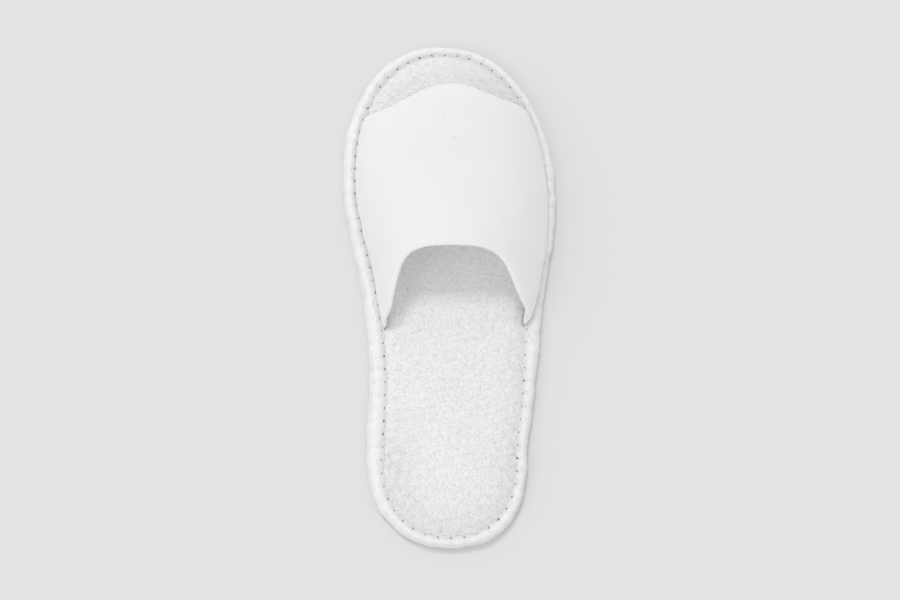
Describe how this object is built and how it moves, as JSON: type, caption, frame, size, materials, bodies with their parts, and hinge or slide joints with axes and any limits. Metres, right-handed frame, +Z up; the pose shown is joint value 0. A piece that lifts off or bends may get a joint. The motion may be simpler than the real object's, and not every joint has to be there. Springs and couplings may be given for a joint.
{
  "type": "open-toe hotel slipper",
  "caption": "White open-toe slip-on slipper for the right foot: flat foam sole, padded terry insole, soft arched vamp and a plump sewn edge tape.",
  "frame": {"origin": "on the floor, at the middle of the slipper's length and width", "axes": "+Y from heel to toe, +X to the outer side of the right foot, +Z up from the floor"},
  "size_m": [0.1197, 0.283, 0.0565],
  "materials": {
    "foam_sole": "matte white EVA foam with a fine dotted tread",
    "terry_footbed": "white terry towelling with short loops, on thin foam",
    "terry_tape": "white terry edge tape, soft pile, sewn with white thread",
    "brushed_cloth": "white brushed cloth on thin foam, very smooth and matte"
  },
  "bodies": {
    "root": {"outsole": "foam_sole", "insole": "terry_footbed", "binding": "terry_tape", "upper": "brushed_cloth"}
  },
  "joints": []
}
